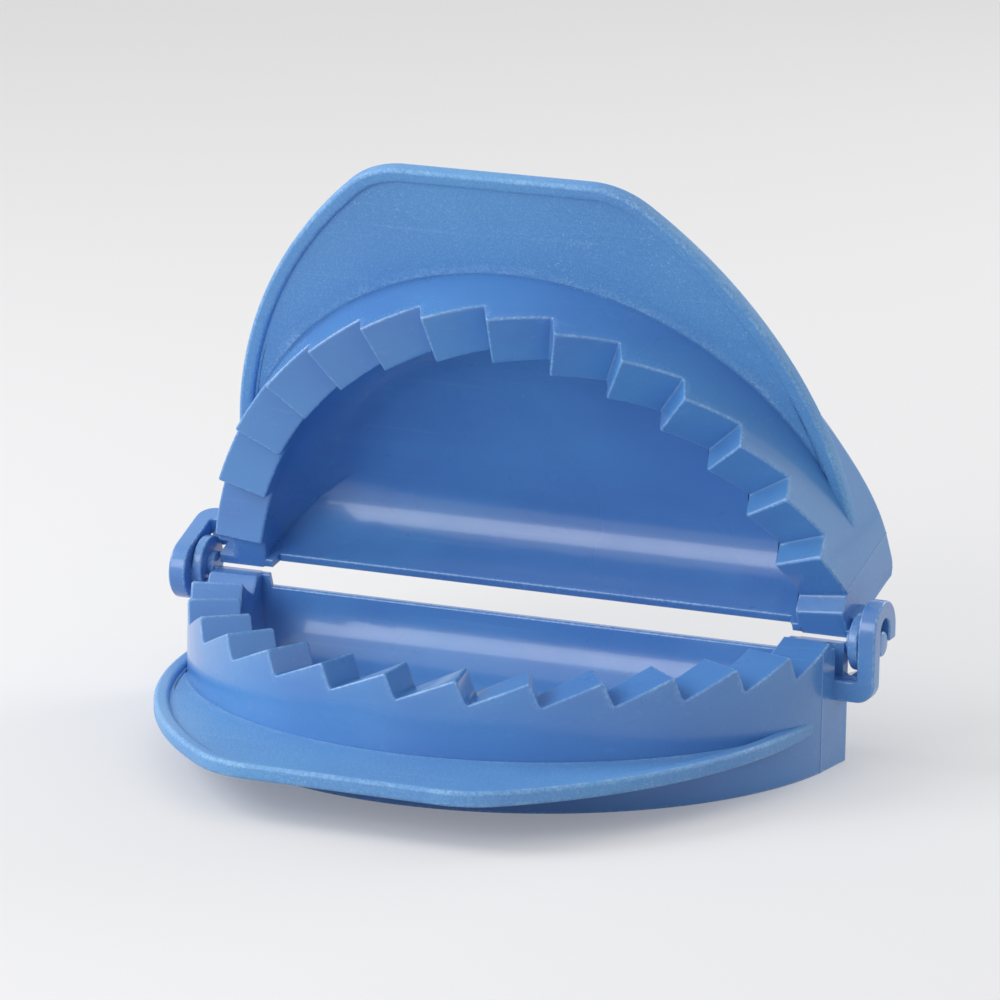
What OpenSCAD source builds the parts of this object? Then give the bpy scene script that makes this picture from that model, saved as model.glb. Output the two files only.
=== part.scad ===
// Empanada press for sealing filled pastry, in millimetres
// Two identical mouldings hook together, so one module makes both halves
// Each half has a cutting skirt, a toothed crimping rim, a cup and a handle plate

/* [Shell] */
// Outside radius of the round wall
wall_r = 75; // [60:1:100]
// Thickness of the moulded walls
wall = 2.2; // [1.6:0.1:3]
// Angle of the wall's flat ends, seen from the middle of the hinge line
flat_angle = 9.5; // [8:0.5:12]
// How far the flat ends stand out past the round wall at the fold line
flat_out = 0.3; // [0.2:0.05:0.5]
// Width of the cutting edge under the skirt
edge_w = 0.9; // [0.5:0.1:1.5]
// Height of the bevel that thins the skirt to its cutting edge
edge_h = 4; // [2:0.5:6]
// Clearance from the fold line to the end faces of a half
fold_gap = 0.3; // [0.2:0.05:0.6]

/* [Crimping rim] */
// Number of steep tooth faces round one half, an odd number
tooth_count = 15; // [9:2:21]
// Height of a tooth
tooth_h = 5; // [3:0.5:7]
// Angle that the steep face of a tooth takes up
steep_angle = 1.8; // [1:0.2:3]
// Thickness of pastry left between the closed rims
crimp_gap = 2.6; // [1.5:0.1:3.5]
// Radial width of the toothed rim
rim_w = 11.5; // [9:0.5:15]
// Thickness of the rim under the teeth
rim_t = 2.2; // [1.6:0.1:3]

/* [Cup] */
// Height of the cup's underside above the cutting edge
cup_z = 5.5; // [4:0.5:9]
// Radius of the cup's outside corners
cup_round = 16; // [10:1:18]
// Depth of the fold lip below the hinge axis
lip_drop = 3; // [2:0.5:5]

/* [Handle] */
// Distance from the hinge axis to the front of the handle plate
handle_reach = 100.5; // [95:0.5:130]
// Radius of the handle plate's swept sides
handle_side_r = 110; // [100:1:130]
// Distance from the middle to the widest point of the swept sides
handle_half_w = 73.4; // [70:0.2:74]
// Distance from the hinge axis to that widest point
handle_wide_y = 12; // [10:1:20]
// Radius of the handle plate's front corners
handle_corner_r = 20; // [14:1:30]
// Height of the handle plate's underside above the cutting edge
handle_z = 9; // [7:0.5:10]
// Thickness of the handle plate
handle_t = 2.5; // [2:0.1:4]
// Width of the bead round the handle plate
bead_w = 3.4; // [2.4:0.2:5]
// Height of the bead above the plate
bead_h = 1; // [0.5:0.1:1.5]

/* [Hinge] */
// Height of the hinge axis above the cutting edge
hinge_z = 27; // [27:0.5:34]
// Radius of the hinge pin
pin_r = 2.8; // [2.2:0.1:3]
// Running clearance between the pin and the sides of the hook's slot
pin_play = 0.08; // [0.05:0.01:0.1]
// How far the pin's end stops short of the hook's outside
pin_short = 0.3; // [0:0.1:1]
// Radius of the disc that keeps the pin in place sideways
disc_r = 6.2; // [4.5:0.1:6.5]
// Thickness of the disc
disc_t = 2.3; // [1.5:0.1:3]
// Gap between the wall and the disc
disc_gap = 1.7; // [1:0.1:3]
// Thickness of the rib that ties the disc to the wall
rib_t = 2.4; // [1.6:0.1:3]
// Clearance between the disc and the pieces of the hook beside it
side_play = 0.3; // [0.2:0.05:0.5]
// Thickness of the hook's limbs
limb_t = 3.9; // [2.6:0.1:4]
// Width of the hook along the hinge axis
hook_w = 4; // [3:0.1:6]
// Height of the hook's bend above the pin
hook_rise = 2.8; // [1:0.2:4]
// Distance from the hinge axis to the underside of the hook's arm
arm_drop = 12; // [11.5:0.5:13]
// Thickness of the hook's arm
arm_t = 4.6; // [3.5:0.1:4.8]
// Radius of the arm's outer corner
arm_round = 4; // [2:0.5:4]
// Angle between the halves as photographed, where 0 is closed
rest_open = 68; // [10:1:170]

/* [Hidden] */
$fn = 96;
// Slack that carries a cut past the face that it opens
cut = 1;

tooth_pitch = 180 / tooth_count;
tip_z = hinge_z + (tooth_h - crimp_gap) / 2;
root_z = tip_z - tooth_h;
// The pads meet 2 x fold_gap apart when the press is closed
pad_z = hinge_z - fold_gap;
flat_x = wall_r + flat_out;
cup_r = wall_r - rim_w;
lip_z = hinge_z - lip_drop;
// First and last steep faces, and the length of the pads beyond them
first_steep = -180 + tooth_pitch / 2;
last_steep = -tooth_pitch / 2;
pad_len = wall_r * sin(tooth_pitch / 2 - steep_angle / 2);
// Crease where the round wall meets a flat end, and the flat's slope
crease_x = wall_r * cos(flat_angle);
crease_y = -wall_r * sin(flat_angle);
flat_slope = (flat_x - crease_x) / -crease_y;

slot_r = pin_r + pin_play;
hook_r = slot_r + limb_t;
disc_x = flat_x + disc_gap;
hook_x = disc_x + disc_t + side_play;
hook_end = hook_x + hook_w;
bend_z = hinge_z + hook_rise;
arm_z = hinge_z - arm_drop;
notch_z = arm_z + arm_t;
// Depth of the notch through the wall, and the rib's distance from the fold line
notch_in = 1.6 * wall;
rib_y = pin_r / 2;

// The resting press is centred on its own bounding box
back_y = hinge_z * sin(rest_open) - fold_gap * cos(rest_open);
centre_y = (handle_reach - back_y) / 2;

// Points of an arc about c, from angle a to angle b in n steps
function arc(c, r, a, b, n) = [for (i = [0:n]) c + r * [cos(a + (b - a) * i / n), sin(a + (b - a) * i / n)]];

// Point at angle a and radius r round the wall's centre, at height z
function rim_point(r, a, z) = [r * cos(a), r * sin(a), z];

// Stations round the rim as [angle, height]: a long ramp, then a steep drop
ramp_steps = 3;
function ramp(k) =
    let (a0 = first_steep + (k - 1) * tooth_pitch + steep_angle / 2, a1 = a0 + tooth_pitch - steep_angle)
    [for (i = [0:ramp_steps]) [a0 + (a1 - a0) * i / ramp_steps, root_z + tooth_h * i / ramp_steps]];
rim_stations = concat(
    [[-190, pad_z], [first_steep - steep_angle / 2, pad_z]],
    [for (k = [1:tooth_count - 1]) each ramp(k)],
    [[last_steep + steep_angle / 2 * (1 - 2 * (pad_z - root_z) / tooth_h), pad_z], [10, pad_z]]
);

// Closed body between the toothed surface, moved down by drop, and the level far_z
module tooth_field(r_in, r_out, drop, far_z) {
    n = len(rim_stations);
    up = far_z > tip_z;
    points = [for (s = rim_stations) each [
        rim_point(r_in, s[0], s[1] - drop),
        rim_point(r_out, s[0], s[1] - drop),
        rim_point(r_out, s[0], far_z),
        rim_point(r_in, s[0], far_z)
    ]];
    sides = [for (i = [0:n - 2]) for (j = [0:3])
        let (a = 4 * i + j, b = 4 * i + (j + 1) % 4)
        each [[a, b, b + 4], [a, b + 4, a + 4]]];
    last = 4 * (n - 1);
    ends = [[2, 1, 0], [3, 2, 0], [last, last + 1, last + 2], [last, last + 2, last + 3]];
    faces = concat(sides, ends);
    polyhedron(points, up ? faces : [for (f = faces) [f[2], f[1], f[0]]]);
}

// Half ring about the hinge line's middle, revolved from [radius, height] points
module half_ring(profile) {
    rotate([0, 0, 180])
        rotate_extrude(angle = 180)
            polygon(profile);
}

// Prism on the front side of the fold line that planes the wall's ends flat
module front_side(z0, z1, inset = 0, gap = fold_gap) {
    // The flat's line is carried a little past the crease, clear of the round wall
    past_y = crease_y - wall;
    right = [
        [flat_x - flat_slope * gap - inset, -gap],
        [flat_x + flat_slope * past_y - inset, past_y],
        [2 * wall_r, past_y],
        [2 * wall_r, -2 * wall_r]
    ];
    translate([0, 0, z0])
        linear_extrude(z1 - z0)
            polygon(concat(right, [for (i = [3:-1:0]) [-right[i][0], right[i][1]]]));
}

// Round wall with its cutting edge, and the ring that the teeth are cut from
module wall_and_rim() {
    half_ring([
        [wall_r - edge_w, 0],
        [wall_r, 0],
        [wall_r, tip_z],
        [cup_r + wall / 2, tip_z],
        [cup_r + wall / 2, root_z - rim_t],
        [wall_r - wall, root_z - rim_t],
        [wall_r - wall, edge_h]
    ]);
    // Flat ends of the wall
    for (side = [0, 1])
        mirror([side, 0, 0])
            translate([wall_r - edge_w, crease_y, 0])
                cube([edge_w + flat_out + cut, -crease_y, tip_z]);
}

// Hollow under the teeth, which leaves the rim an even thickness
module rim_hollow() {
    side_t = wall + 0.6;
    intersection() {
        half_ring([
            [cup_r + side_t, root_z - rim_t - cut],
            [wall_r - side_t, root_z - rim_t - cut],
            [wall_r - side_t, tip_z],
            [cup_r + side_t, tip_z]
        ]);
        tooth_field(cup_r, wall_r + cut, rim_t, root_z - rim_t - 2 * cut);
        front_side(0, tip_z, side_t, fold_gap + wall);
    }
}

// Block of the cup's form: a round bowl cut off along the fold, inset by t
module cup_block(t, top_z) {
    r = cup_r + wall - t;
    z = cup_z + t;
    round_r = cup_round - t;
    back = -fold_gap - t;
    intersection() {
        half_ring(concat(
            [[0, z]],
            arc([r - round_r, z + round_r], round_r, -90, 0, 8),
            [[r, top_z], [0, top_z]]
        ));
        rotate([90, 0, 90])
            translate([0, 0, -r - cut])
                linear_extrude(2 * (r + cut))
                    polygon(concat(
                        [[-wall_r, z]],
                        arc([back - round_r, z + round_r], round_r, -90, 0, 8),
                        [[back, top_z], [-wall_r, top_z]]
                    ));
    }
}

// Webs that close the hollow under the rim at the fold
module end_webs() {
    for (side = [0, 1])
        mirror([side, 0, 0])
            translate([cup_r + wall / 2, -fold_gap - wall, cup_z + wall])
                cube([flat_x - cup_r - wall, wall + cut, tip_z - cup_z - wall]);
}

// Outline of the handle plate, moved in by inset
function handle_outline(inset) =
    let (
        side_c = [handle_half_w - handle_side_r, -handle_wide_y],
        corner_y = -handle_reach + handle_corner_r,
        span = handle_side_r - handle_corner_r,
        corner_c = [side_c[0] + sqrt(span * span - pow(corner_y - side_c[1], 2)), corner_y],
        turn = asin((corner_y - side_c[1]) / span),
        right = concat(
            [for (p = arc(corner_c, handle_corner_r - inset, -90, turn, 8)) p],
            [for (i = [1:10]) side_c + (handle_side_r - inset) * [cos(turn * (1 - i / 10)), sin(turn * (1 - i / 10))]]
        )
    )
    concat([for (i = [len(right) - 1:-1:0]) [-right[i][0], right[i][1]]], right);

// Edge profile of the plate as [inset, height], from the underside round to the bead
function bead_profile() = [
    [1.0, 0],
    [0.3, 0.3],
    [0, 1.0],
    [0, handle_t + bead_h - 1],
    [0.3, handle_t + bead_h - 0.3],
    [1.0, handle_t + bead_h],
    [bead_w - 1, handle_t + bead_h],
    [bead_w - 0.3, handle_t + bead_h - 0.3],
    [bead_w, handle_t]
];

// Handle plate with its bead, lofted through one outline per point of the profile
module handle() {
    profile = bead_profile();
    outlines = [for (p = profile) [for (q = handle_outline(p[0])) [q[0], q[1], handle_z + p[1]]]];
    m = len(outlines[0]);
    n = len(profile);
    sides = [for (i = [0:n - 2]) for (j = [0:m - 1])
        let (a = i * m + j, b = i * m + (j + 1) % m)
        each [[a, a + m, b + m], [a, b + m, b]]];
    bottom = [for (j = [0:m - 1]) j];
    top = [for (j = [m - 1:-1:0]) (n - 1) * m + j];
    difference() {
        polyhedron([for (o = outlines) each o], concat(sides, [bottom, top]));
        translate([0, 0, handle_z - cut])
            cylinder(r = wall_r - wall / 2, h = handle_t + bead_h + 2 * cut);
    }
}

// Hook on the right end: an arm, a front limb, the bend and a short back limb
module hook() {
    difference() {
        union() {
            translate([hook_x, 0, bend_z])
                rotate([0, 90, 0])
                    cylinder(r = hook_r, h = hook_w);
            translate([hook_x, -hook_r, arm_z])
                cube([hook_w, limb_t, bend_z - arm_z]);
            translate([hook_x, slot_r, hinge_z])
                cube([hook_w, limb_t, hook_rise]);
            translate([flat_x - wall / 2, -hook_r, arm_z])
                cube([hook_x - flat_x + wall / 2, hook_r - fold_gap, arm_t]);
            translate([hook_x - cut, -hook_r, arm_z])
                cube([hook_w + cut, limb_t, arm_t]);
        }
        // Slot for the pin, open below
        translate([hook_x - cut, 0, bend_z])
            rotate([0, 90, 0])
                cylinder(r = slot_r, h = hook_w + 2 * cut);
        translate([hook_x - cut, -slot_r, notch_z])
            cube([hook_w + 2 * cut, slot_r + hook_r + cut, hinge_z - notch_z]);
        translate([hook_x - cut, -slot_r, hinge_z - cut])
            cube([hook_w + 2 * cut, 2 * slot_r, hook_rise + cut]);
        // Rounded outer corner of the arm
        translate([hook_end - arm_round, -hook_r - cut, arm_z - cut])
            difference() {
                cube([arm_round + cut, hook_r + cut, arm_round + cut]);
                translate([0, -cut, arm_round + cut])
                    rotate([-90, 0, 0])
                        cylinder(r = arm_round, h = hook_r + 3 * cut);
            }
    }
}

// Low ridge on the arm that the disc of the other half rides over
module saddle() {
    ridge_z = hinge_z - disc_r - side_play;
    mid_x = (flat_x + hook_x) / 2;
    translate([0, -fold_gap, 0])
        rotate([90, 0, 0])
            linear_extrude(limb_t)
                polygon([[flat_x, notch_z], [hook_x, notch_z], [mid_x, ridge_z]]);
}

// Pin on the left end, with the disc that keeps it in the other half's hook
module pin() {
    root_x = flat_x + side_play;
    pin_end = hook_end - pin_short;
    bevel = pin_r / 4;
    translate([0, 0, hinge_z])
        rotate([0, -90, 0]) {
            translate([0, 0, root_x])
                cylinder(r = pin_r, h = pin_end - bevel - root_x);
            translate([0, 0, pin_end - bevel])
                cylinder(r1 = pin_r, r2 = pin_r - bevel, h = bevel);
            translate([0, 0, disc_x])
                cylinder(r = disc_r, h = disc_t);
        }
    // The root keeps to the quarter that belongs to the pin's own half
    intersection() {
        translate([-root_x, 0, hinge_z])
            rotate([0, 90, 0])
                cylinder(r = pin_r, h = side_play + wall / 2);
        translate([-root_x, -pin_r - cut, hinge_z - pin_r - cut])
            cube([side_play + wall, pin_r + cut - fold_gap, pin_r + cut - fold_gap]);
    }
    // Rib that ties the disc to the wall below it
    translate([-disc_x - disc_t / 2, -rib_y - rib_t, hinge_z - disc_r - rib_t])
        cube([disc_gap + disc_t / 2 + wall / 2, rib_t, rib_t + disc_r / 2]);
}

// One moulding, standing on its cutting edge with the hinge line along X
module half() {
    difference() {
        intersection() {
            union() {
                wall_and_rim();
                cup_block(0, tip_z);
                end_webs();
                handle();
            }
            front_side(0, tip_z);
        }
        cup_block(wall, tip_z + cut);
        rim_hollow();
        tooth_field(cup_r - 2 * cut, wall_r + 2 * cut, 0, tip_z + cut);
        // Low lip where the pastry folds
        translate([wall - cup_r, -fold_gap - wall - cut, lip_z])
            cube([2 * (cup_r - wall), wall + 2 * cut, hinge_z]);
        // Notch in the wall in front of the right end's web
        translate([wall_r - notch_in, -pad_len, notch_z])
            cube([2 * notch_in, pad_len - fold_gap - wall, hinge_z]);
    }
    hook();
    saddle();
    pin();
}

// Lower half, which stands on its cutting edge
module lower_half() {
    color("#4f86c6")
        translate([0, centre_y, 0])
            half();
}

// Upper half, turned end for end and swung over about the pins
module upper_half() {
    color("#5b93d0")
        translate([0, centre_y, hinge_z])
            rotate([180 - rest_open, 0, 0])
                translate([0, 0, -hinge_z])
                    rotate([0, 0, 180])
                        half();
}

lower_half();
upper_half();
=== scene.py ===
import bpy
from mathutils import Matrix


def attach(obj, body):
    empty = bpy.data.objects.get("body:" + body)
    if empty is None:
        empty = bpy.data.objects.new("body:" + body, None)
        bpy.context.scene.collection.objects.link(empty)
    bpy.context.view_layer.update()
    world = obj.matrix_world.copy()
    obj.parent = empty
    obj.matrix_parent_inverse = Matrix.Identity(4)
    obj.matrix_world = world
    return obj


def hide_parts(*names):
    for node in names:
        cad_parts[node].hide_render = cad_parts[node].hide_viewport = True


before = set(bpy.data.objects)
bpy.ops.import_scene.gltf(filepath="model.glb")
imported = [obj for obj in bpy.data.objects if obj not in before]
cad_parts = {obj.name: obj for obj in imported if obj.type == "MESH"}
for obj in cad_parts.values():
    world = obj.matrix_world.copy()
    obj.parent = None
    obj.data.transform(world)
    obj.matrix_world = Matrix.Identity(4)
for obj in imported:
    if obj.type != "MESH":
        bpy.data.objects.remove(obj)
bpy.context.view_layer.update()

from math import asin, cos, degrees, hypot, pi, radians, sin, sqrt

import bmesh
import bpy
from mathutils import Matrix, Vector

# Camera
# It stands where the photograph was taken from, low in front of the press and
# to its right, with the long lens that the spacing of the teeth calls for.
azimuth, elevation, roll = radians(22.858), radians(13.489), radians(0.961)
aim, distance = Vector((-0.00712, 0.03779, 0.04915)), 1.439
back = Vector((sin(azimuth) * cos(elevation), -cos(azimuth) * cos(elevation), sin(elevation)))
side = Vector((0, 0, 1)).cross(back).normalized()
above = back.cross(side)
camera_data = bpy.data.cameras.new("photo_camera")
camera_data.lens = 235.38
camera_data.sensor_width = 36
camera_data.clip_end = 20
camera = bpy.data.objects.new("photo_camera", camera_data)
turn = Matrix((
    side * cos(roll) + above * sin(roll),
    above * cos(roll) - side * sin(roll),
    back,
)).transposed().to_4x4()
camera.matrix_world = Matrix.Translation(aim + back * distance) @ turn
bpy.context.scene.collection.objects.link(camera)
bpy.context.scene.camera = camera
bpy.context.scene.view_settings.view_transform = "Standard"

# Blue polypropylene
# Both halves are shot from the same mid blue plastic. It is satin and a little
# uneven where the melt flowed. Its outer edges are paler, partly where handling
# has rubbed them and partly a painted edge highlight, and its inner corners carry
# painted shade.
def add(tree, kind, values=None, links=None, **settings):
    # One node with its settings, its fixed values and what feeds it
    node = tree.nodes.new(kind)
    for name, value in settings.items():
        setattr(node, name, value)
    for socket, value in (values or {}).items():
        node.inputs[socket].default_value = value
    for socket, source in (links or {}).items():
        tree.links.new(source, node.inputs[socket])
    return node


def effect(name, inputs, outputs):
    # An empty shader group with named sockets, and its two ends
    group = bpy.data.node_groups.new(name, "ShaderNodeTree")
    for socket, kind in inputs:
        group.interface.new_socket(socket, in_out="INPUT", socket_type="NodeSocket" + kind)
    for socket in outputs:
        group.interface.new_socket(socket, in_out="OUTPUT", socket_type="NodeSocketFloat")
    return group, group.nodes.new("NodeGroupInput"), group.nodes.new("NodeGroupOutput")


def remap(tree, source, low, high, to_low=0.0, to_high=1.0, smooth=True):
    # A mask drawn out from one range of values to another
    kind = "SMOOTHSTEP" if smooth else "LINEAR"
    return add(tree, "ShaderNodeMapRange",
               {"From Min": low, "From Max": high, "To Min": to_low, "To Max": to_high},
               {"Value": source}, interpolation_type=kind).outputs["Result"]


def both(tree, operation, first, second):
    # Two masks, or a mask and a number, put together
    node = add(tree, "ShaderNodeMath", operation=operation)
    for socket, item in zip(node.inputs, (first, second)):
        if isinstance(item, (int, float)):
            socket.default_value = item
        else:
            tree.links.new(item, socket)
    return node.outputs["Value"]


# Where the melt ran it is a shade deeper, in broad clouds with faint streaks
melt, given, result = effect("melt_flow", [("Place", "Vector")], ["Depth"])
cloud = add(melt, "ShaderNodeTexNoise",
            {"Scale": 20.0, "Detail": 2.0, "Roughness": 0.4, "Distortion": 0.5},
            {"Vector": given.outputs["Place"]})
drawn = add(melt, "ShaderNodeMapping", {"Scale": (14.0, 14.0, 75.0), "Rotation": (0.25, 0.1, 0.0)},
            {"Vector": given.outputs["Place"]})
streak = add(melt, "ShaderNodeTexNoise",
             {"Scale": 1.0, "Detail": 2.0, "Roughness": 0.45, "Distortion": 0.3},
             {"Vector": drawn.outputs["Vector"]})
run = both(melt, "ADD", both(melt, "MULTIPLY", cloud.outputs["Fac"], 0.65),
           both(melt, "MULTIPLY", streak.outputs["Fac"], 0.35))
melt.links.new(remap(melt, run, 0.33, 0.67), result.inputs["Depth"])

# Outer corners are painted pale, partly rubbing by fingers and partly a painted
# edge highlight, and the inner corners get painted shade, broken into patches
edge_wear_light_shade_group, given, result = effect("edge_rub_light_and_shade", [("Place", "Vector"), ("Corner", "Float")],
                                ["Rubbed", "PaintedShade"])
patch = add(edge_wear_light_shade_group, "ShaderNodeTexNoise", {"Scale": 120.0, "Detail": 3.0, "Roughness": 0.6},
            {"Vector": given.outputs["Place"]})
fleck = add(edge_wear_light_shade_group, "ShaderNodeTexNoise", {"Scale": 1400.0, "Detail": 2.0, "Roughness": 0.6},
            {"Vector": given.outputs["Place"]})
broken = both(edge_wear_light_shade_group, "MULTIPLY", remap(edge_wear_light_shade_group, patch.outputs["Fac"], 0.35, 0.7, 0.35, 1.0),
              remap(edge_wear_light_shade_group, fleck.outputs["Fac"], 0.42, 0.6, 0.15, 1.0))
# Pale outer corners: partly rubbing and partly a painted edge highlight
edge_wear_light_shade_group.links.new(both(edge_wear_light_shade_group, "MULTIPLY", remap(edge_wear_light_shade_group, given.outputs["Corner"], 0.3, 1.0), broken),
                  result.inputs["Rubbed"])
# Painted shade: the inner corners darkened, broken into patches
edge_wear_light_shade_group.links.new(both(edge_wear_light_shade_group, "MULTIPLY", remap(edge_wear_light_shade_group, given.outputs["Corner"], -0.1, -0.9),
                       remap(edge_wear_light_shade_group, patch.outputs["Fac"], 0.3, 0.65)), result.inputs["PaintedShade"])

# The mould's spark-eroded skin: fine pits, and a scatter of painted glints, pale
# specks that stand for light caught by the grains
skin, given, result = effect("mould_grain_and_glint", [("Place", "Vector"), ("Grains", "Float")],
                             ["Height", "PaintedGlint", "Pale", "Dark"])
pits = add(skin, "ShaderNodeTexNoise", {"Detail": 2.0, "Roughness": 0.65},
           {"Vector": given.outputs["Place"], "Scale": given.outputs["Grains"]})
grain = add(skin, "ShaderNodeTexVoronoi",
            links={"Vector": given.outputs["Place"],
                   "Scale": both(skin, "MULTIPLY", given.outputs["Grains"], 0.55)})
hue = add(skin, "ShaderNodeSeparateColor", links={"Color": grain.outputs["Color"]})
dot = remap(skin, grain.outputs["Distance"], 0.42, 0.15)
cluster = add(skin, "ShaderNodeTexNoise",
              {"Scale": 70.0, "Detail": 3.0, "Roughness": 0.6, "Distortion": 0.6},
              {"Vector": given.outputs["Place"]})
chosen = both(skin, "MULTIPLY", remap(skin, hue.outputs["Red"], 0.45, 1.0),
              remap(skin, cluster.outputs["Fac"], 0.45, 0.7, 0.2, 1.0))
skin.links.new(remap(skin, pits.outputs["Fac"], 0.5, 0.72), result.inputs["Pale"])
skin.links.new(remap(skin, pits.outputs["Fac"], 0.5, 0.28), result.inputs["Dark"])
skin.links.new(both(skin, "MULTIPLY", dot, chosen), result.inputs["PaintedGlint"])
skin.links.new(both(skin, "ADD", both(skin, "MULTIPLY", pits.outputs["Fac"], 0.8),
                    both(skin, "MULTIPLY", dot, 0.2)), result.inputs["Height"])

# Smears left by damp fingers, and hairlines from the drawer and the sponge
marks, given, result = effect("handling_marks", [("Place", "Vector")], ["Smear", "Hairline"])
smear = add(marks, "ShaderNodeTexNoise",
            {"Scale": 55.0, "Detail": 2.0, "Roughness": 0.5, "Distortion": 1.0},
            {"Vector": given.outputs["Place"]})
marks.links.new(remap(marks, smear.outputs["Fac"], 0.36, 0.66), result.inputs["Smear"])
lines = []
for turn_by, count in ((0.5, 22.0), (-0.9, 17.0)):
    dragged = add(marks, "ShaderNodeMapping",
                  {"Rotation": (0.3, turn_by, turn_by), "Scale": (1.0, 45.0, 45.0)},
                  {"Vector": given.outputs["Place"]})
    thread = add(marks, "ShaderNodeTexNoise", {"Scale": count, "Detail": 0.0},
                 {"Vector": dragged.outputs["Vector"]})
    lines.append(remap(marks, thread.outputs["Fac"], 0.73, 0.83))
marks.links.new(both(marks, "MAXIMUM", lines[0], lines[1]), result.inputs["Hairline"])


def polypropylene(name, clear, deep, grains, relief, painted_glint, rubbed_and_lit, scored, dull, smeared, coat):
    # One finish of the plastic: its two tones, how grained it is and how strongly
    # its grains carry painted glints, how rubbed and painted with edge highlight its
    # corners are, how scored it is, and how dull it is where it is clean and where it
    # is smeared
    material = bpy.data.materials.new(name)
    material.use_nodes = True
    tree = material.node_tree
    place = add(tree, "ShaderNodeTexCoord").outputs["Object"]
    corner = add(tree, "ShaderNodeAttribute", attribute_name="corner",
                 attribute_type="GEOMETRY").outputs["Fac"]
    flow = add(tree, "ShaderNodeGroup", links={"Place": place}, node_tree=melt)
    edge_wear_light_shade = add(tree, "ShaderNodeGroup", links={"Place": place, "Corner": corner}, node_tree=edge_wear_light_shade_group)
    grain = add(tree, "ShaderNodeGroup", {"Grains": grains}, {"Place": place}, node_tree=skin)
    worn = add(tree, "ShaderNodeGroup", links={"Place": place}, node_tree=marks)

    # Painted shade in the inner corners, rubbed corners with a painted edge highlight,
    # hairlines, the grain and painted glints, each laid over the one before
    shade = add(tree, "ShaderNodeMix", {"A": clear, "B": deep}, {"Factor": flow.outputs["Depth"]},
                data_type="RGBA").outputs["Result"]
    layers = (
        # Painted shade, a deeper blue, in the inner corners
        (both(tree, "MULTIPLY", edge_wear_light_shade.outputs["PaintedShade"], 0.3), (0.045, 0.14, 0.36, 1)),
        # Pale outer corners, partly rubbed and partly a painted edge highlight
        (both(tree, "MULTIPLY", edge_wear_light_shade.outputs["Rubbed"], rubbed_and_lit), (0.36, 0.6, 0.87, 1)),
        (both(tree, "MULTIPLY", worn.outputs["Hairline"], scored), (0.4, 0.62, 0.86, 1)),
        (both(tree, "MULTIPLY", grain.outputs["Dark"], relief * 0.4), (0.06, 0.19, 0.46, 1)),
        (both(tree, "MULTIPLY", grain.outputs["Pale"], relief * 0.4), (0.3, 0.56, 0.86, 1)),
        # Painted glints, pale specks for light caught by the grains
        (both(tree, "MULTIPLY", grain.outputs["PaintedGlint"], painted_glint), (0.5, 0.72, 0.95, 1)),
    )
    for amount, tint in layers:
        shade = add(tree, "ShaderNodeMix", {"B": tint}, {"Factor": amount, "A": shade},
                    data_type="RGBA").outputs["Result"]
    rough = both(tree, "ADD",
                 remap(tree, worn.outputs["Smear"], 0, 1, dull, dull + smeared, smooth=False),
                 both(tree, "MULTIPLY", edge_wear_light_shade.outputs["Rubbed"], 0.16))
    height = both(tree, "SUBTRACT", grain.outputs["Height"],
                  both(tree, "MULTIPLY", worn.outputs["Hairline"], scored))
    bump = add(tree, "ShaderNodeBump", {"Strength": relief, "Distance": 0.0002}, {"Height": height})
    shader = tree.nodes["Principled BSDF"]
    tree.links.new(shade, shader.inputs["Base Color"])
    tree.links.new(rough, shader.inputs["Roughness"])
    tree.links.new(bump.outputs["Normal"], shader.inputs["Normal"])
    shader.inputs["IOR"].default_value = 1.49
    shader.inputs["Coat Weight"].default_value = coat
    shader.inputs["Coat Roughness"].default_value = 0.1
    return material


smooth_plastic = polypropylene(
    "smooth_polypropylene", clear=(0.095, 0.285, 0.625, 1), deep=(0.08, 0.225, 0.56, 1),
    grains=900.0, relief=0.03, painted_glint=0.02, rubbed_and_lit=0.5, scored=0.05,
    dull=0.27, smeared=0.06, coat=0.45)
grained_plastic = polypropylene(
    "grained_polypropylene", clear=(0.115, 0.33, 0.66, 1), deep=(0.1, 0.28, 0.615, 1),
    grains=2400.0, relief=0.6, painted_glint=0.4, rubbed_and_lit=0.6, scored=0.09,
    dull=0.42, smeared=0.1, coat=0.06)

# Skirt, toothed rim and cup
# Each half is one moulding in millimetres about the hinge line's middle: a half
# round skirt that cuts the pastry, a sawtooth rim that crimps it and a cup that
# holds the filling. The wall is 2.2 mm thick and follows the teeth underneath.
wall_r, wall, fold = 75.0, 2.2, 0.3
cup_r, cup_z, cup_round = 63.5, 5.5, 16.0
pin_z, pad_z, lip_z, notch_z = 27.0, 26.7, 24.0, 19.6
flat_x, flat_angle, pin_flat, witness = 75.3, 9.5, 7.5, 0.12
flare, flare_z, flare_from, flare_over = 1.3, 24.0, 28.0, 20.0
corner_lift, corner_y, corner_z = 2.2, 3.5, 6.0
round_top, rim_t, pad_share = 0.55, 2.2, 0.967
tooth_count, tip_z, root_z, pitch, steep, soften = 15, 28.4, 23.0, 12.0, 0.9, 0.3
first_root, last_root = -174.0, -6.36
stations = [(-190.0, pad_z), (first_root - steep, pad_z)]
for tooth in range(tooth_count - 1):
    start = first_root + pitch * tooth
    stations += [(start + steep, root_z), (start + pitch - steep, tip_z)]
stations += [(last_root, pad_z), (10.0, pad_z)]


def straight(angle):
    # Height of the sawtooth line at an angle round the rim, with keen corners
    for (a0, z0), (a1, z1) in zip(stations, stations[1:]):
        if angle <= a1:
            return z0 + (z1 - z0) * (angle - a0) / (a1 - a0)


def tooth_top(angle):
    # The same line with its corners softened, as they come out of the mould
    return sum(straight(angle + soften * (step - 4) / 4) for step in range(9)) / 9


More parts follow.
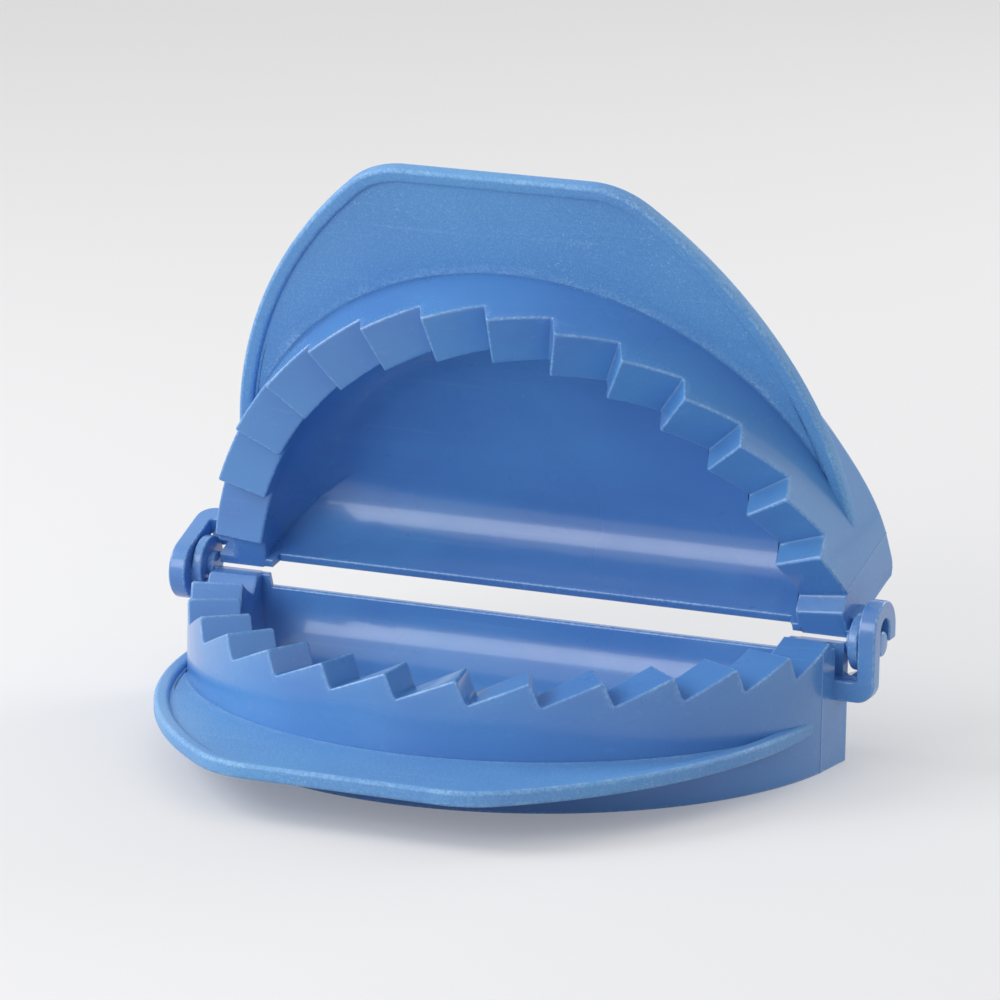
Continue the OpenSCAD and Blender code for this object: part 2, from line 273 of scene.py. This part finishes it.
# Columns stand closest at the teeth's corners, the notch's sides and the creases
column_angles = {-180.0, -178.6, -177.2, -1.86, -1.96, -3.4, -5.05, -5.15, 0.0,
                 pin_flat - 180.2, pin_flat - 180.0, pin_flat - 179.8,
                 -flat_angle - 0.2, -flat_angle, -flat_angle + 0.2}
for tooth in range(tooth_count):
    for offset in (-6, -4.9, -3.8, -2.8, -2.0, -1.5, -1.2, -1.05, -0.9, -0.75, -0.6, -0.3, 0,
                   0.3, 0.6, 0.75, 0.9, 1.05, 1.2, 1.5, 2.0, 2.8, 3.8, 4.9):
        column_angles.add(round(first_root + pitch * tooth + offset, 3))
column_angles = sorted(column_angles, reverse=True)
tops = [tooth_top(angle) for angle in column_angles]


def in_notch(angle):
    # The wall is cut down here for the other half's hook
    return -5.1 < angle < -1.91


def wall_top(k):
    return notch_z if in_notch(column_angles[k]) else tops[k]


def wall_point(k, inset, z):
    # Point on the wall, an inset in from its outside. It is round, with a flat on
    # each end behind a fine witness line. The pin's end flares a little towards
    # the cutting edge, and its corner is lifted round.
    angle = column_angles[k]
    end, crease, lean, lift = radians(-angle), radians(flat_angle), 0.0, 0.0
    if angle < -90.0:
        end, crease = radians(angle + 180.0), radians(pin_flat)
        share = max(0.0, min(1.0, (flare_from - degrees(end)) / flare_over))
        lean = flare * share * share * (3.0 - 2.0 * share) * max(0.0, (flare_z - z) / flare_z)
        lift = max(0.0, 1.0 - wall_r * sin(end) / corner_y) ** 2
        lift *= corner_lift * max(0.0, 1.0 - z / corner_z)
    radius = wall_r + lean
    if end < crease:
        slope = (flat_x + lean - radius * cos(crease)) / (radius * sin(crease))
        radius = (flat_x + lean) / (cos(end) + slope * sin(end))
    if inset < wall and abs(end - crease) < 0.001:
        radius += witness
    radius -= inset
    turn_by = radians(angle)
    return Vector((radius * cos(turn_by), min(radius * sin(turn_by), -fold), z + lift))


def rim_point(k, radius, down, end=fold):
    # Point on the rim, which keeps clear of the fold by its end
    angle = column_angles[k]
    top = tops[k]
    if in_notch(angle) and radius > 71.5:
        top = notch_z
    turn_by = radians(angle)
    return Vector((radius * cos(turn_by), min(radius * sin(turn_by), -end), top - down))


def cup_point(k, radius, z, end):
    # Arc of the cup, which ends where it meets the straight wall along the fold
    trim = degrees(asin(end / radius))
    turn_by = radians(-trim + column_angles[k] * (180.0 - 2 * trim) / 180.0)
    return Vector((radius * cos(turn_by), radius * sin(turn_by), z))


fold_shares = [1.0, 0.985, 0.972, 0.962] + [0.95 - 0.05 * step for step in range(39)]
fold_shares += [-0.962, -0.972, -0.985, -1.0]


def fold_point(j, radius, end, z):
    # Straight wall along the fold
    return Vector((sqrt(radius * radius - end * end) * fold_shares[j], -end, z))


def lip_top(j):
    # The low lip along the fold rises at its ends to the pads beside it
    return pad_z if abs(fold_shares[j]) > pad_share else lip_z


def sweep(body, count, rows):
    # A row of vertices along the piece is drawn out once for each later row
    index = body.verts.layers.int["column"]
    first = bmesh.ops.create_vert(body, co=(1, 0, 0))["vert"][0]
    before = set(body.verts)
    bmesh.ops.spin(body, geom=[first], cent=(0, 0, 0), axis=(0, 0, -1), angle=pi, steps=count - 1)
    line = [first] + [vert for vert in body.verts if vert not in before]
    line.sort(key=lambda vert: -vert.co.x)
    for k, vert in enumerate(line):
        vert[index] = k
    edges = list({edge for vert in line for edge in vert.link_edges})
    for vert in line:
        vert.co = rows[0](vert[index])
    for row in rows[1:]:
        grown = bmesh.ops.extrude_edge_only(body, edges=edges)["geom"]
        fresh = {item for item in grown if isinstance(item, bmesh.types.BMVert)}
        edges = [item for item in grown if isinstance(item, bmesh.types.BMEdge)
                 and item.verts[0] in fresh and item.verts[1] in fresh]
        for vert in fresh:
            vert.co = row(vert[index])


def new_body():
    body = bmesh.new()
    body.verts.layers.int.new("column")
    return body


def close(body):
    # Seams are welded, open ends are filled and the faces turned outwards
    bmesh.ops.remove_doubles(body, verts=body.verts, dist=0.004)
    bmesh.ops.holes_fill(body, edges=[edge for edge in body.edges if edge.is_boundary], sides=0)
    bmesh.ops.recalc_face_normals(body, faces=body.faces)


def cup_bend(radius, steps):
    # Quarter round from the cup's floor up to its side, as (inset, height)
    return [(radius * (1 - sin(radians(step * 9))), cup_z + cup_round - radius * cos(radians(step * 9)))
            for step in steps]


# Quarter round of the rim's edges, as (distance along the rim, distance down)
corner = [(round_top * (1 - cos(radians(step * 22.5))), round_top * (1 - sin(radians(step * 22.5))))
          for step in range(5)]

# The skin runs from the cup's floor over the rim, down the wall's outside, round
# the cutting edge, up inside the wall and back under the cup
skirt = new_body()
back_in = fold + wall
arc_rows, fold_rows = [], []
for inset, z in cup_bend(cup_round - wall, range(11)):
    arc_rows.append(lambda k, i=inset, z=z: cup_point(k, cup_r - i, z, back_in + i))
    fold_rows.append(lambda j, i=inset, z=z: fold_point(j, cup_r - i, back_in + i, z))
for along, down in corner:
    arc_rows.append(lambda k, a=along, d=down: rim_point(k, cup_r + a, d, back_in - a))
    fold_rows.append(lambda j, a=along, d=down: Vector((
        fold_shares[j] * (cup_r + a), a - back_in, lip_top(j) - d)))
for radius in (64.6, 66.0, 69.0, 71.35, 71.6, 73.6):
    arc_rows.append(lambda k, r=radius: rim_point(k, r, 0))
for along, down in reversed(corner):
    arc_rows.append(lambda k, a=along, d=down: wall_point(k, a, wall_top(k) - d))
    fold_rows.append(lambda j, a=along, d=down: Vector((
        fold_shares[j] * (cup_r + round_top), -fold - a, lip_top(j) - d)))
for step in (1.1, 2.4):
    arc_rows.append(lambda k, s=step: wall_point(k, 0, min(21.5, wall_top(k)) - s))
for z in (16.0, 13.0, 10.0, 6.0, 3.0, 0.7, 0.3):
    arc_rows.append(lambda k, z=z: wall_point(k, 0, z))
for inset, z in ((0.09, 0.09), (0.3, 0.0), (0.65, 0.0), (0.85, 0.09), (0.98, 0.3),
                 (wall, 4.0), (wall, 9.0), (wall, 14.0)):
    arc_rows.append(lambda k, i=inset, z=z: wall_point(k, i, z))
for inset, down in ((wall, 1.0), (wall + 0.2, 0.35), (wall + 0.7, 0)):
    arc_rows.append(lambda k, i=inset, d=down: wall_point(k, i, wall_top(k) - rim_t - d))
for radius in (69.5, 66.4):
    arc_rows.append(lambda k, r=radius: rim_point(k, r, rim_t))
arc_rows.append(lambda k: rim_point(k, cup_r + wall + 0.2, rim_t + 0.35))
for inset, z in cup_bend(cup_round, range(10, -1, -1)):
    arc_rows.append(lambda k, i=inset, z=z: cup_point(k, cup_r + wall - i, z, fold + i))
    fold_rows.append(lambda j, i=inset, z=z: fold_point(j, cup_r + wall - i, fold + i, z))
sweep(skirt, len(column_angles), arc_rows)
sweep(skirt, len(fold_shares), fold_rows)
close(skirt)

# Handle plate
# A flat plate sweeps out from the foot of the skirt for the fingers, with a
# rounded bead round its free edge that stiffens it and stops fingers slipping.
reach, swept_r, half_w, wide_y, corner_r = 100.5, 110.0, 73.4, 12.0, 20.0
plate_z, plate_t, bead_w, bead_h, bead_r = 9.0, 2.5, 3.4, 1.0, 1.0
in_wall, mid_plate, groove = 73.9, 80.0, 0.2
swept_x = half_w - swept_r
bend_y = corner_r - reach
bend_x = swept_x + sqrt((swept_r - corner_r) ** 2 - (bend_y + wide_y) ** 2)
bend_turn = asin((bend_y + wide_y) / (swept_r - corner_r))


def edge_spots(inset):
    # The plate's outline, from its widest point on one side round to the other
    spots = []
    for step in range(33):
        turn_by, radius = bend_turn * step / 32, swept_r - inset
        spots.append((swept_x + radius * cos(turn_by), -wide_y + radius * sin(turn_by)))
    for step in range(1, 17):
        turn_by, radius = bend_turn + (-pi / 2 - bend_turn) * step / 16, corner_r - inset
        spots.append((bend_x + radius * cos(turn_by), bend_y + radius * sin(turn_by)))
    for step in range(1, 11):
        spots.append((bend_x * (1 - step / 10), -reach + inset))
    return spots + [(-x, y) for x, y in reversed(spots[:-1])]


def edge_row(inset, z):
    # Row along the free edge
    spots = edge_spots(inset)
    return lambda k: Vector((spots[k][0], spots[k][1], z))


def wall_row(radius, z, give):
    # Row at a radius about the hinge, or just inside the bead where that is nearer
    out = []
    for x, y in edge_spots(bead_w):
        far = hypot(x, y)
        near = min(radius, far - give)
        out.append(Vector((x * near / far, y * near / far, z)))
    return lambda k: out[k]


def bead_bend(inset, z, start):
    # Quarter round of the bead about a middle at an inset and a height
    turns = [radians(start - step * 18) for step in range(6)]
    return [edge_row(inset + bead_r * cos(turn_by), z + bead_r * sin(turn_by)) for turn_by in turns]


plate_top = plate_z + plate_t
bead_top = plate_top + bead_h
handle_rows = [wall_row(in_wall, plate_z, 0.9), wall_row(mid_plate, plate_z, 0.6),
               edge_row(bead_w, plate_z), edge_row(1.4, plate_z)]
handle_rows += bead_bend(bead_r, plate_z + bead_r, 270)
handle_rows += bead_bend(bead_r, bead_top - bead_r, 180)
handle_rows += [edge_row(bead_w - bead_r - 0.35, bead_top)]
handle_rows += bead_bend(bead_w - bead_r, bead_top - bead_r, 90)
handle_rows += [edge_row(bead_w + 0.25, plate_top), edge_row(bead_w + 0.8, plate_top),
                wall_row(mid_plate, plate_top, 0.65), wall_row(75.7, plate_top, 0.7),
                wall_row(75.45, plate_top - groove, 0.72), wall_row(in_wall, plate_top - groove, 0.9),
                wall_row(in_wall, plate_z, 0.9)]
plate = new_body()
sweep(plate, len(edge_spots(0)), handle_rows)
close(plate)

# Hook
# A hook stands out from the right end of each half on a short arm. It is open
# below, so that the other half's pin can be snapped up into it.
slot_r, limb_t, hook_w, hook_x = 2.88, 3.9, 4.0, 79.6
hook_r, hook_end, bend_z, arm_z = slot_r + limb_t, hook_x + hook_w, pin_z + 2.8, pin_z - 12.0
limb_z, in_end, skim = arm_z + 4.6, flat_x - 1.1, 0.02


def block(outline, axis, start, depth, soft):
    # A flat outline drawn out along one axis, with all its edges rounded
    body = new_body()
    order = {"x": (2, 0, 1), "y": (0, 2, 1)}[axis]
    corners = []
    for u, v in outline:
        spot = (u, v, start)
        corners.append(bmesh.ops.create_vert(body, co=[spot[n] for n in order])["vert"][0])
    face = body.faces.new(corners)
    along = Vector((depth, 0, 0)) if axis == "x" else Vector((0, depth, 0))
    grown = bmesh.ops.extrude_face_region(body, geom=[face])["geom"]
    moved = [item for item in grown if isinstance(item, bmesh.types.BMVert)]
    bmesh.ops.translate(body, vec=along, verts=moved)
    bmesh.ops.recalc_face_normals(body, faces=body.faces)
    keen = [edge for edge in body.edges if edge.calc_face_angle(0) > radians(30)]
    bmesh.ops.bevel(body, geom=keen, offset=soft, segments=3, profile=0.5, affect="EDGES",
                    material=-1, clamp_overlap=True)
    return body


def bow(middle, radius, start, stop, steps):
    # Part of a circle in an outline
    turns = [radians(start + (stop - start) * step / steps) for step in range(steps + 1)]
    return [(middle[0] + radius * cos(turn_by), middle[1] + radius * sin(turn_by)) for turn_by in turns]


# The bend goes over the pin and the arm carries it. The ledge and its ridge stand
# behind the arm. The arm and the ledge stay a skim inside what they run into.
c_outline = [(-hook_r, limb_z)]
c_outline += bow((0, bend_z), hook_r, 180, 0, 28)
c_outline += [(hook_r, pin_z), (slot_r, pin_z)]
c_outline += bow((0, bend_z), slot_r, 0, 180, 18)
c_outline += [(-slot_r, limb_z)]
bend = block(c_outline, "x", hook_x, hook_w, 0.5)
l_outline = [(in_end, arm_z)] + bow((hook_end - skim - 4.0, arm_z + 4.0), 4.0, -90, 0, 10)
l_outline += [(hook_end - skim, arm_z + 6.5), (hook_x + skim, arm_z + 6.5)]
l_outline += bow((hook_x + skim - 0.9, notch_z + 0.9), 0.9, 0, -90, 4)
l_outline += [(in_end, notch_z)]
arm = block(l_outline, "y", -hook_r + skim, limb_t - 2 * skim, 0.5)
ledge = block([(in_end, arm_z + skim), (hook_x - 0.05, arm_z + skim),
               (hook_x - 0.05, notch_z - skim), (in_end, notch_z - skim)],
              "y", -hook_r + 1.0, hook_r - 1.0 - fold - skim, 0.4)
crest_x, crest_z = (flat_x + hook_x) / 2, 20.4
ridge = block([(flat_x - 0.4, notch_z - 0.6), (hook_x + 0.3, notch_z - 0.6), (hook_x + 0.3, notch_z),
               (crest_x + 0.25, crest_z), (crest_x - 0.25, crest_z), (flat_x - 0.4, notch_z)],
              "y", -limb_t - fold, limb_t, 0.15)

# Pin
# The pin stands out from the left end of each half. A disc keeps it from sliding
# out of the other half's hook, and a rib ties the disc to the wall.
pin_r, disc_r, disc_x, disc_t = 2.8, 6.2, 77.0, 2.3
pin_end, pin_soft, disc_soft = hook_end - 0.3, 0.7, 0.5
rib_y, rib_t, root_x = pin_r / 2, 2.4, disc_x + 1.15


def turned(profile):
    # A profile of (along, radius) spots spun round the hinge axis
    body = new_body()
    spots = [bmesh.ops.create_vert(body, co=(-along, 0, radius))["vert"][0]
             for along, radius in profile]
    edges = [body.edges.new(pair) for pair in zip(spots, spots[1:])]
    bmesh.ops.spin(body, geom=spots + edges, cent=(0, 0, 0), axis=(1, 0, 0), angle=2 * pi, steps=72,
                   use_merge=True)
    bmesh.ops.remove_doubles(body, verts=body.verts, dist=0.002)
    bmesh.ops.translate(body, vec=(0, 0, pin_z), verts=body.verts)
    bmesh.ops.recalc_face_normals(body, faces=body.faces)
    return body


def soft_edge(along, radius, soft, start):
    # Quarter round of a turned edge, from flat to side or from side to flat
    middle = (along - soft if start == 90 else along + soft, radius - soft)
    return bow(middle, soft, start, start - 90, 5)


pin = turned([(flat_x + 0.3, 0.0), (flat_x + 0.3, pin_r)]
             + soft_edge(pin_end, pin_r, pin_soft, 90) + [(pin_end, 0.0)])
disc = turned([(disc_x, 0.0)] + soft_edge(disc_x, disc_r, disc_soft, 180)
              + soft_edge(disc_x + disc_t, disc_r, disc_soft, 90) + [(disc_x + disc_t, 0.0)])
rib = block([(-root_x, pin_z - disc_r - rib_t), (-in_end, pin_z - disc_r - rib_t),
             (-in_end, pin_z - disc_r / 2), (-root_x, pin_z - disc_r / 2)],
            "y", -rib_y - rib_t, rib_t, 0.45)
root = block([(-flat_x - 0.6, pin_z - 2.3), (-in_end, pin_z - 2.3),
              (-in_end, pin_z - fold), (-flat_x - 0.6, pin_z - fold)],
             "y", -2.1, 2.1 - fold, 0.2)

# Tie blocks
# A small block under each end of the rim ties the cup to the wall. It is part of
# the same moulding and keeps the wall's ends from spreading.
tie_in, tie_out, tie_low, tie_high = 64.6, 74.2, 7.8, 24.4
ties = [block([(x0, tie_low), (x1, tie_low), (x1, tie_high), (x0, tie_high)], "y", -2.5, 2.14, 0.05)
        for x0, x1 in ((tie_in, tie_out), (-tie_out, -tie_in))]

# Lower half
# The shapes above are one shot of plastic. The lower half stands on its cutting
# edge with its hook to the right and its pin to the left.
mm = 0.001
for face in plate.faces:
    face.material_index = 1
moulding = bmesh.new()
blocks = set()
shells = (skirt, plate, pin, disc, bend, arm, ledge, ridge, rib, root, *ties)
for part in shells:
    carrier = bpy.data.meshes.new("carrier")
    part.to_mesh(carrier)
    joined = set(moulding.faces)
    moulding.from_mesh(carrier)
    if part not in (skirt, plate, pin, disc):
        blocks |= set(moulding.faces) - joined
    bpy.data.meshes.remove(carrier)
for part in shells:
    part.free()
moulding.normal_update()
corner_mark = moulding.loops.layers.float.new("corner")
bends = {vert: sum(edge.calc_face_angle_signed(0.0) for edge in vert.link_edges)
         for vert in moulding.verts}
narrow, full_bend = 0.4, 0.8
for face in moulding.faces:
    # Outer corners are marked above nought and inner ones below, and the broad
    # faces of a block stay clear of the mark
    width = face.calc_area() / max(edge.calc_length() for edge in face.edges)
    if face not in blocks or width < narrow:
        for loop in face.loops:
            loop[corner_mark] = max(-1.0, min(1.0, bends[loop.vert] / full_bend))
bmesh.ops.scale(moulding, vec=(mm, mm, mm), verts=moulding.verts)
rest_open = radians(68.0)
middle_y = mm * (reach - (pin_z * sin(rest_open) - fold * cos(rest_open))) / 2


def stand(name, node_name, place):
    # One moulding set down in its place, in both finishes
    mesh = bpy.data.meshes.new(name)
    body = moulding.copy()
    body.transform(place)
    body.to_mesh(mesh)
    body.free()
    mesh.materials.append(smooth_plastic)
    mesh.materials.append(grained_plastic)
    mesh.shade_smooth()
    mesh.set_sharp_from_angle(angle=radians(40))
    piece = bpy.data.objects.new(name, mesh)
    bpy.context.scene.collection.objects.link(piece)
    even = piece.modifiers.new("even_shading", "WEIGHTED_NORMAL")
    even.keep_sharp = True
    even.weight = 50
    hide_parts(node_name)
    return piece


lower = stand("lower_moulding", "lower_half", Matrix.Translation((0, middle_y, 0)))
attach(lower, "lower_half")

# Upper half
# The same moulding turned end for end and folded over, so that its pin lies in
# the lower half's hook and its own hook holds the lower half's pin.
fold_over = (Matrix.Translation((0, middle_y, mm * pin_z)) @ Matrix.Rotation(pi - rest_open, 4, "X")
             @ Matrix.Translation((0, 0, -mm * pin_z)) @ Matrix.Rotation(pi, 4, "Z"))
upper = stand("upper_moulding", "upper_half", fold_over)
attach(upper, "upper_half")

# Studio
# A pale floor, an even white surround and three soft lamps. Where the camera or
# a reflection sees the floor and the surround, they are a shade brighter.
def looked_at(tree):
    path = add(tree, "ShaderNodeLightPath")
    return both(tree, "MAXIMUM", path.outputs["Is Camera Ray"], path.outputs["Is Glossy Ray"])


floor_mesh = bpy.data.meshes.new("floor")
ground = bmesh.new()
bmesh.ops.create_grid(ground, x_segments=1, y_segments=1, size=6)
ground.to_mesh(floor_mesh)
ground.free()
floor = bpy.data.objects.new("floor", floor_mesh)
bpy.context.scene.collection.objects.link(floor)
paper = bpy.data.materials.new("floor_paper")
paper.use_nodes = True
sheet = paper.node_tree.nodes["Principled BSDF"]
sheet.inputs["Base Color"].default_value = (0.62, 0.62, 0.63, 1)
sheet.inputs["Roughness"].default_value = 0.9
sheet.inputs["Emission Color"].default_value = (1, 1, 1, 1)
lit = both(paper.node_tree, "MULTIPLY", looked_at(paper.node_tree), 0.2)
paper.node_tree.links.new(lit, sheet.inputs["Emission Strength"])
floor_mesh.materials.append(paper)

surround = bpy.data.worlds.new("surround")
bpy.context.scene.world = surround
surround.use_nodes = True
sky = surround.node_tree.nodes["Background"]
sky.inputs["Color"].default_value = (1, 1, 1, 1)
strength = remap(surround.node_tree, looked_at(surround.node_tree), 0, 1, 0.6, 1.0, smooth=False)
surround.node_tree.links.new(strength, sky.inputs["Strength"])
lamp_size, lit_spot = 0.5, Vector((0, 0.03, 0.04))
for name, spot, watts in (
    ("window_lamp", (-0.75, -0.2, 0.6), 4),
    ("fill_lamp", (-0.35, -0.85, 0.45), 3),
    ("back_lamp", (0.45, 0.95, 0.6), 3),
):
    lamp_data = bpy.data.lights.new(name, "AREA")
    lamp_data.size = lamp_size
    lamp_data.energy = watts
    lamp = bpy.data.objects.new(name, lamp_data)
    lamp.location = spot
    lamp.rotation_euler = (lit_spot - Vector(spot)).to_track_quat("-Z", "Y").to_euler()
    bpy.context.scene.collection.objects.link(lamp)
